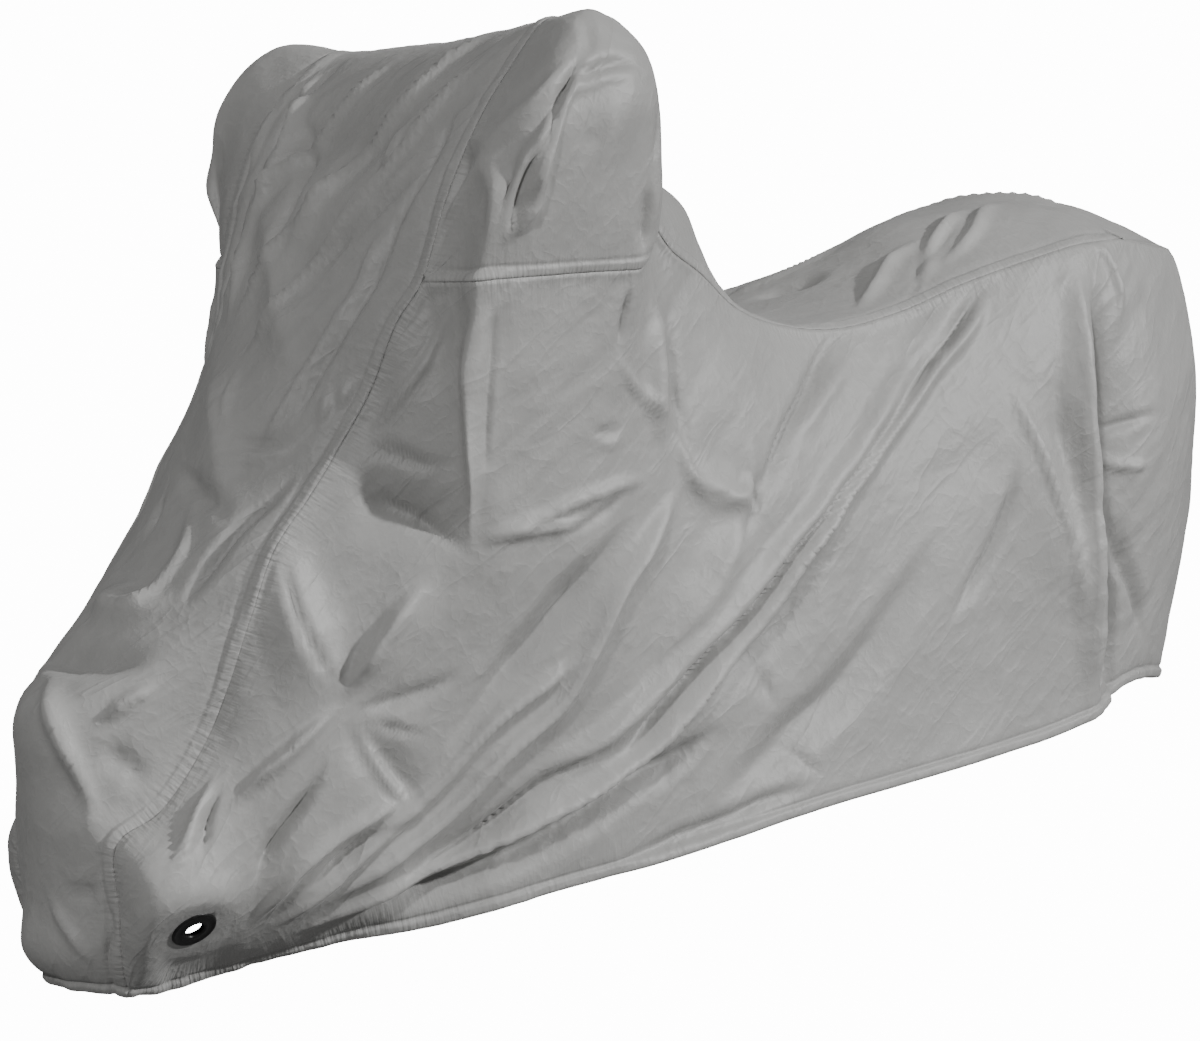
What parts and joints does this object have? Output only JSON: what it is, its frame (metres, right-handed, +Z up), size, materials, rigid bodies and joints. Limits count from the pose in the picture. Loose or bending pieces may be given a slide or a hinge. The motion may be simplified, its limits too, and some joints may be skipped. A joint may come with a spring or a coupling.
{
  "type": "draped motorcycle cover",
  "caption": "Hollow draped outdoor cover of coated cloth with a high head, a low seat, an open gathered hem and lock eyelets at the nose.",
  "frame": {"origin": "point over the seat, on the underside of the centre panel, from which the cover hangs", "axes": "+X towards the tail, -X towards the nose, +Z up, -Y the cover's left side, which faces the camera in the picture"},
  "size_m": [1.9952, 0.7884, 1.2518],
  "materials": {
    "coated_cloth": "satin, coated weave",
    "eyelet_plastic": "satin moulded"
  },
  "bodies": {
    "root": {"centre_panel": "coated_cloth", "side_panel_left": "coated_cloth", "side_panel_right": "coated_cloth", "head_panel_left": "coated_cloth", "head_panel_right": "coated_cloth", "eyelet_left": "eyelet_plastic", "eyelet_right": "eyelet_plastic"}
  },
  "joints": []
}
